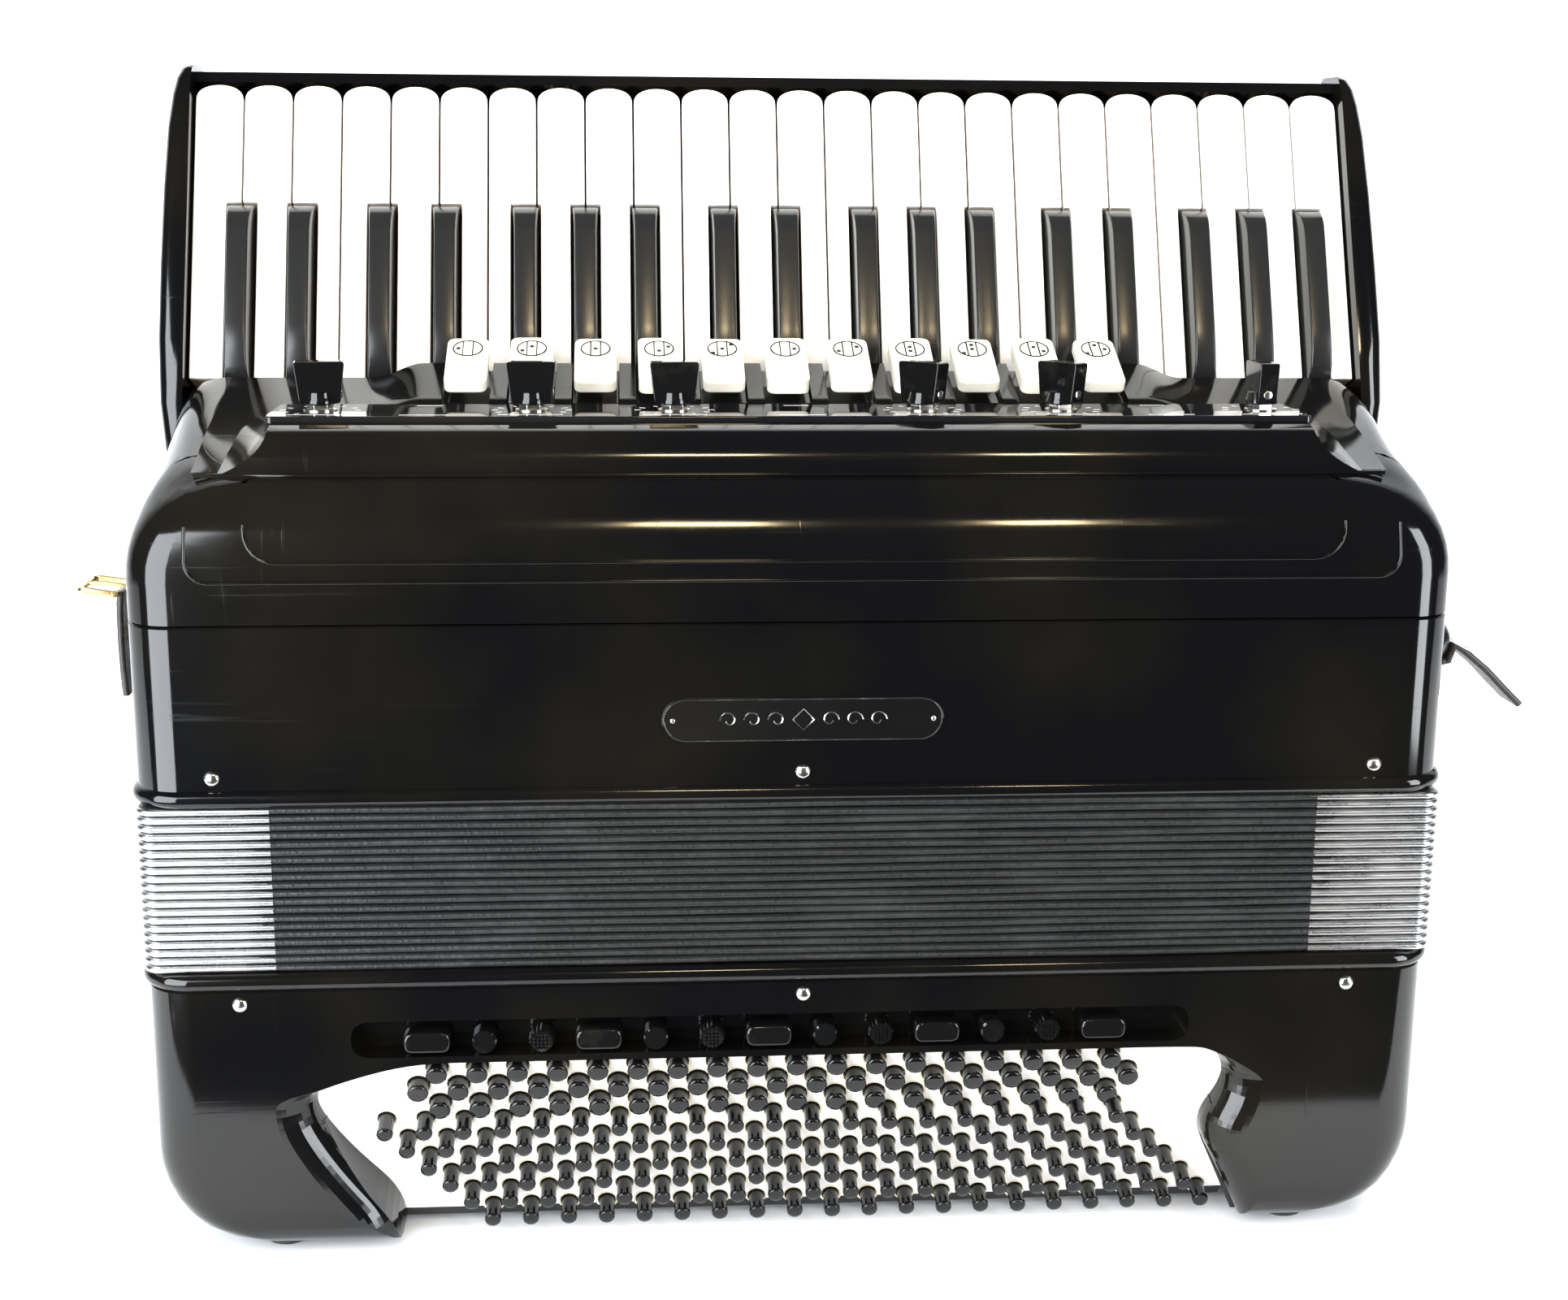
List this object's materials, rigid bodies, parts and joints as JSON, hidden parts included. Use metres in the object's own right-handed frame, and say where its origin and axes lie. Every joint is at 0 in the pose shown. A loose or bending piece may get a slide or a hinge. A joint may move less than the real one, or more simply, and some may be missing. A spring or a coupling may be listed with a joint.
{
  "type": "piano accordion",
  "caption": "Black full-size piano accordion with white and black treble keys, closed bellows, register switches, control knobs and a slanted bass button board.",
  "frame": {"origin": "on the floor plane at the soles of the bass feet, below the middle of the whole object's box", "axes": "+X along the keyboard towards its low notes, +Y from the grille back to the player's chest, +Z from the bass end up to the keyboard along the bellows' travel"},
  "size_m": [0.576, 0.1986, 0.4614],
  "materials": {
    "black_celluloid": "high gloss",
    "black_plastic": "gloss",
    "key_black": "gloss",
    "key_white": "gloss",
    "cream_plastic": "gloss",
    "white_board": "gloss",
    "panel_gloss": "high gloss",
    "nameplate_black": "gloss",
    "black_leather": "satin",
    "leatherette": "grained",
    "nickel": "polished",
    "steel": "bright",
    "brass": "polished",
    "aluminium_plate": "satin",
    "spruce": "sanded",
    "black_rubber": "matt"
  },
  "bodies": {
    "bass_section": {"bass_case": "black_celluloid", "bass_end_cover": "black_celluloid", "bass_frame": "black_celluloid", "bass_pins": "nickel", "stradella_board": "white_board", "free_bass_board": "white_board", "bass_feet": "black_rubber", "bass_reed_blocks": "spruce", "bass_soundboard": "aluminium_plate", "bass_machine": "aluminium_plate", "bass_strap": "black_leather", "strap_anchors": "nickel", "bellows": "leatherette"},
    "treble_section": {"treble_case": "black_celluloid", "treble_frame": "black_celluloid", "treble_pins": "nickel", "grille": "black_celluloid", "control_panel": "panel_gloss", "knob_nuts": "nickel", "keyboard_bed": "black_celluloid", "keyboard_cheeks": "black_celluloid", "key_axle": "steel", "treble_soundboard": "aluminium_plate", "treble_reed_blocks": "spruce", "nameplate": "nameplate_black", "shoulder_brackets": "nickel", "bellows_straps": "black_leather", "strap_studs": "brass"},
    "strap_wheel": {"strap_wheel": "black_plastic"},
    "air_button": {"air_button": "black_plastic"},
    "bass_switches": {"bass_switches": "black_plastic"},
    "register_switches": {"register_switches": "cream_plastic"},
    "free_bass_row_1": {"free_bass_row_1": "black_plastic"},
    "free_bass_row_2": {"free_bass_row_2": "black_plastic"},
    "free_bass_row_3": {"free_bass_row_3": "black_plastic"},
    "counterbass_buttons": {"counterbass_buttons": "black_plastic"},
    "bass_note_buttons": {"bass_note_buttons": "black_plastic"},
    "major_chord_buttons": {"major_chord_buttons": "black_plastic"},
    "minor_chord_buttons": {"minor_chord_buttons": "black_plastic"},
    "seventh_chord_buttons": {"seventh_chord_buttons": "black_plastic"},
    "diminished_chord_buttons": {"diminished_chord_buttons": "black_plastic"},
    "knob_1": {"knob_1": "black_plastic"},
    "knob_2": {"knob_2": "black_plastic"},
    "knob_3": {"knob_3": "black_plastic"},
    "knob_4": {"knob_4": "black_plastic"},
    "knob_5": {"knob_5": "black_plastic"},
    "knob_6": {"knob_6": "black_plastic"},
    "keys_a": {"keys_a": "key_white"},
    "keys_a_sharp": {"keys_a_sharp": "key_black"},
    "keys_b": {"keys_b": "key_white"},
    "keys_c": {"keys_c": "key_white"},
    "keys_c_sharp": {"keys_c_sharp": "key_black"},
    "keys_d": {"keys_d": "key_white"},
    "keys_d_sharp": {"keys_d_sharp": "key_black"},
    "keys_e": {"keys_e": "key_white"},
    "keys_f": {"keys_f": "key_white"},
    "keys_f_sharp": {"keys_f_sharp": "key_black"},
    "keys_g": {"keys_g": "key_white"},
    "keys_g_sharp": {"keys_g_sharp": "key_black"}
  },
  "joints": [
    {"name": "bellows_open", "type": "slide", "parent": "bass_section", "child": "treble_section", "axis": [0, 0, 1], "range_m": [0, 0.35], "deforming": ["bellows"]},
    {"name": "key_a", "type": "hinge", "parent": "treble_section", "child": "keys_a", "pos_m": [-0.012, 0.01954, 0.29294], "axis": [-1, 0, 0], "range_deg": [0, 1.9], "stiffness_Nm_per_rad": 4, "springref_deg": -4.01},
    {"name": "key_a_sharp", "type": "hinge", "parent": "treble_section", "child": "keys_a_sharp", "pos_m": [-0.012, 0.01954, 0.29294], "axis": [-1, 0, 0], "range_deg": [0, 1.9], "stiffness_Nm_per_rad": 4, "springref_deg": -4.01},
    {"name": "key_b", "type": "hinge", "parent": "treble_section", "child": "keys_b", "pos_m": [-0.012, 0.01954, 0.29294], "axis": [-1, 0, 0], "range_deg": [0, 1.9], "stiffness_Nm_per_rad": 4, "springref_deg": -4.01},
    {"name": "key_c", "type": "hinge", "parent": "treble_section", "child": "keys_c", "pos_m": [-0.012, 0.01954, 0.29294], "axis": [-1, 0, 0], "range_deg": [0, 1.9], "stiffness_Nm_per_rad": 4, "springref_deg": -4.01},
    {"name": "key_c_sharp", "type": "hinge", "parent": "treble_section", "child": "keys_c_sharp", "pos_m": [-0.012, 0.01954, 0.29294], "axis": [-1, 0, 0], "range_deg": [0, 1.9], "stiffness_Nm_per_rad": 4, "springref_deg": -4.01},
    {"name": "key_d", "type": "hinge", "parent": "treble_section", "child": "keys_d", "pos_m": [-0.012, 0.01954, 0.29294], "axis": [-1, 0, 0], "range_deg": [0, 1.9], "stiffness_Nm_per_rad": 4, "springref_deg": -4.01},
    {"name": "key_d_sharp", "type": "hinge", "parent": "treble_section", "child": "keys_d_sharp", "pos_m": [-0.012, 0.01954, 0.29294], "axis": [-1, 0, 0], "range_deg": [0, 1.9], "stiffness_Nm_per_rad": 4, "springref_deg": -4.01},
    {"name": "key_e", "type": "hinge", "parent": "treble_section", "child": "keys_e", "pos_m": [-0.012, 0.01954, 0.29294], "axis": [-1, 0, 0], "range_deg": [0, 1.9], "stiffness_Nm_per_rad": 4, "springref_deg": -4.01},
    {"name": "key_f", "type": "hinge", "parent": "treble_section", "child": "keys_f", "pos_m": [-0.012, 0.01954, 0.29294], "axis": [-1, 0, 0], "range_deg": [0, 1.9], "stiffness_Nm_per_rad": 4, "springref_deg": -4.01},
    {"name": "key_f_sharp", "type": "hinge", "parent": "treble_section", "child": "keys_f_sharp", "pos_m": [-0.012, 0.01954, 0.29294], "axis": [-1, 0, 0], "range_deg": [0, 1.9], "stiffness_Nm_per_rad": 4, "springref_deg": -4.01},
    {"name": "key_g", "type": "hinge", "parent": "treble_section", "child": "keys_g", "pos_m": [-0.012, 0.01954, 0.29294], "axis": [-1, 0, 0], "range_deg": [0, 1.9], "stiffness_Nm_per_rad": 4, "springref_deg": -4.01},
    {"name": "key_g_sharp", "type": "hinge", "parent": "treble_section", "child": "keys_g_sharp", "pos_m": [-0.012, 0.01954, 0.29294], "axis": [-1, 0, 0], "range_deg": [0, 1.9], "stiffness_Nm_per_rad": 4, "springref_deg": -4.01},
    {"name": "press_free_bass_row_1", "type": "slide", "parent": "bass_section", "child": "free_bass_row_1", "axis": [0, 0.9511, 0.309], "range_m": [0, 0.004], "stiffness_N_per_m": 300, "springref_m": -0.002},
    {"name": "press_free_bass_row_2", "type": "slide", "parent": "bass_section", "child": "free_bass_row_2", "axis": [0, 0.9511, 0.309], "range_m": [0, 0.004], "stiffness_N_per_m": 300, "springref_m": -0.002},
    {"name": "press_free_bass_row_3", "type": "slide", "parent": "bass_section", "child": "free_bass_row_3", "axis": [0, 0.9511, 0.309], "range_m": [0, 0.004], "stiffness_N_per_m": 300, "springref_m": -0.002},
    {"name": "press_counterbass_buttons", "type": "slide", "parent": "bass_section", "child": "counterbass_buttons", "axis": [0, 0.9511, 0.309], "range_m": [0, 0.004], "stiffness_N_per_m": 300, "springref_m": -0.002},
    {"name": "press_bass_note_buttons", "type": "slide", "parent": "bass_section", "child": "bass_note_buttons", "axis": [0, 0.9511, 0.309], "range_m": [0, 0.004], "stiffness_N_per_m": 300, "springref_m": -0.002},
    {"name": "press_major_chord_buttons", "type": "slide", "parent": "bass_section", "child": "major_chord_buttons", "axis": [0, 0.9511, 0.309], "range_m": [0, 0.004], "stiffness_N_per_m": 300, "springref_m": -0.002},
    {"name": "press_minor_chord_buttons", "type": "slide", "parent": "bass_section", "child": "minor_chord_buttons", "axis": [0, 0.9511, 0.309], "range_m": [0, 0.004], "stiffness_N_per_m": 300, "springref_m": -0.002},
    {"name": "press_seventh_chord_buttons", "type": "slide", "parent": "bass_section", "child": "seventh_chord_buttons", "axis": [0, 0.9511, 0.309], "range_m": [0, 0.004], "stiffness_N_per_m": 300, "springref_m": -0.002},
    {"name": "press_diminished_chord_buttons", "type": "slide", "parent": "bass_section", "child": "diminished_chord_buttons", "axis": [0, 0.9511, 0.309], "range_m": [0, 0.004], "stiffness_N_per_m": 300, "springref_m": -0.002},
    {"name": "push_bass_switches", "type": "slide", "parent": "bass_section", "child": "bass_switches", "axis": [0, 1, 0], "range_m": [0, 0.0025], "stiffness_N_per_m": 300, "springref_m": -0.002},
    {"name": "push_register_switches", "type": "slide", "parent": "treble_section", "child": "register_switches", "axis": [0, 0.3328, -0.943], "range_m": [0, 0.0018], "stiffness_N_per_m": 300, "springref_m": -0.004},
    {"name": "push_air_button", "type": "slide", "parent": "bass_section", "child": "air_button", "axis": [1, 0, 0], "range_m": [0, 0.003], "stiffness_N_per_m": 300, "springref_m": -0.002},
    {"name": "turn_strap_wheel", "type": "hinge", "parent": "bass_section", "child": "strap_wheel", "pos_m": [0.241, 0.01975, 0.062], "axis": [1, 0, 0], "continuous": true},
    {"name": "turn_knob_1", "type": "hinge", "parent": "treble_section", "child": "knob_1", "pos_m": [-0.1945, -0.03625, 0.338], "axis": [0, 0, 1], "range_deg": [-150, 150]},
    {"name": "turn_knob_2", "type": "hinge", "parent": "treble_section", "child": "knob_2", "pos_m": [-0.1136, -0.03625, 0.338], "axis": [0, 0, 1], "range_deg": [-150, 150]},
    {"name": "turn_knob_3", "type": "hinge", "parent": "treble_section", "child": "knob_3", "pos_m": [-0.0585, -0.03625, 0.338], "axis": [0, 0, 1], "range_deg": [-150, 150]},
    {"name": "turn_knob_4", "type": "hinge", "parent": "treble_section", "child": "knob_4", "pos_m": [0.0389, -0.03625, 0.338], "axis": [0, 0, 1], "range_deg": [-150, 150]},
    {"name": "turn_knob_5", "type": "hinge", "parent": "treble_section", "child": "knob_5", "pos_m": [0.0938, -0.03625, 0.338], "axis": [0, 0, 1], "range_deg": [-150, 150]},
    {"name": "turn_knob_6", "type": "hinge", "parent": "treble_section", "child": "knob_6", "pos_m": [0.174, -0.03625, 0.338], "axis": [0, 0, 1], "range_deg": [-150, 150]}
  ]
}
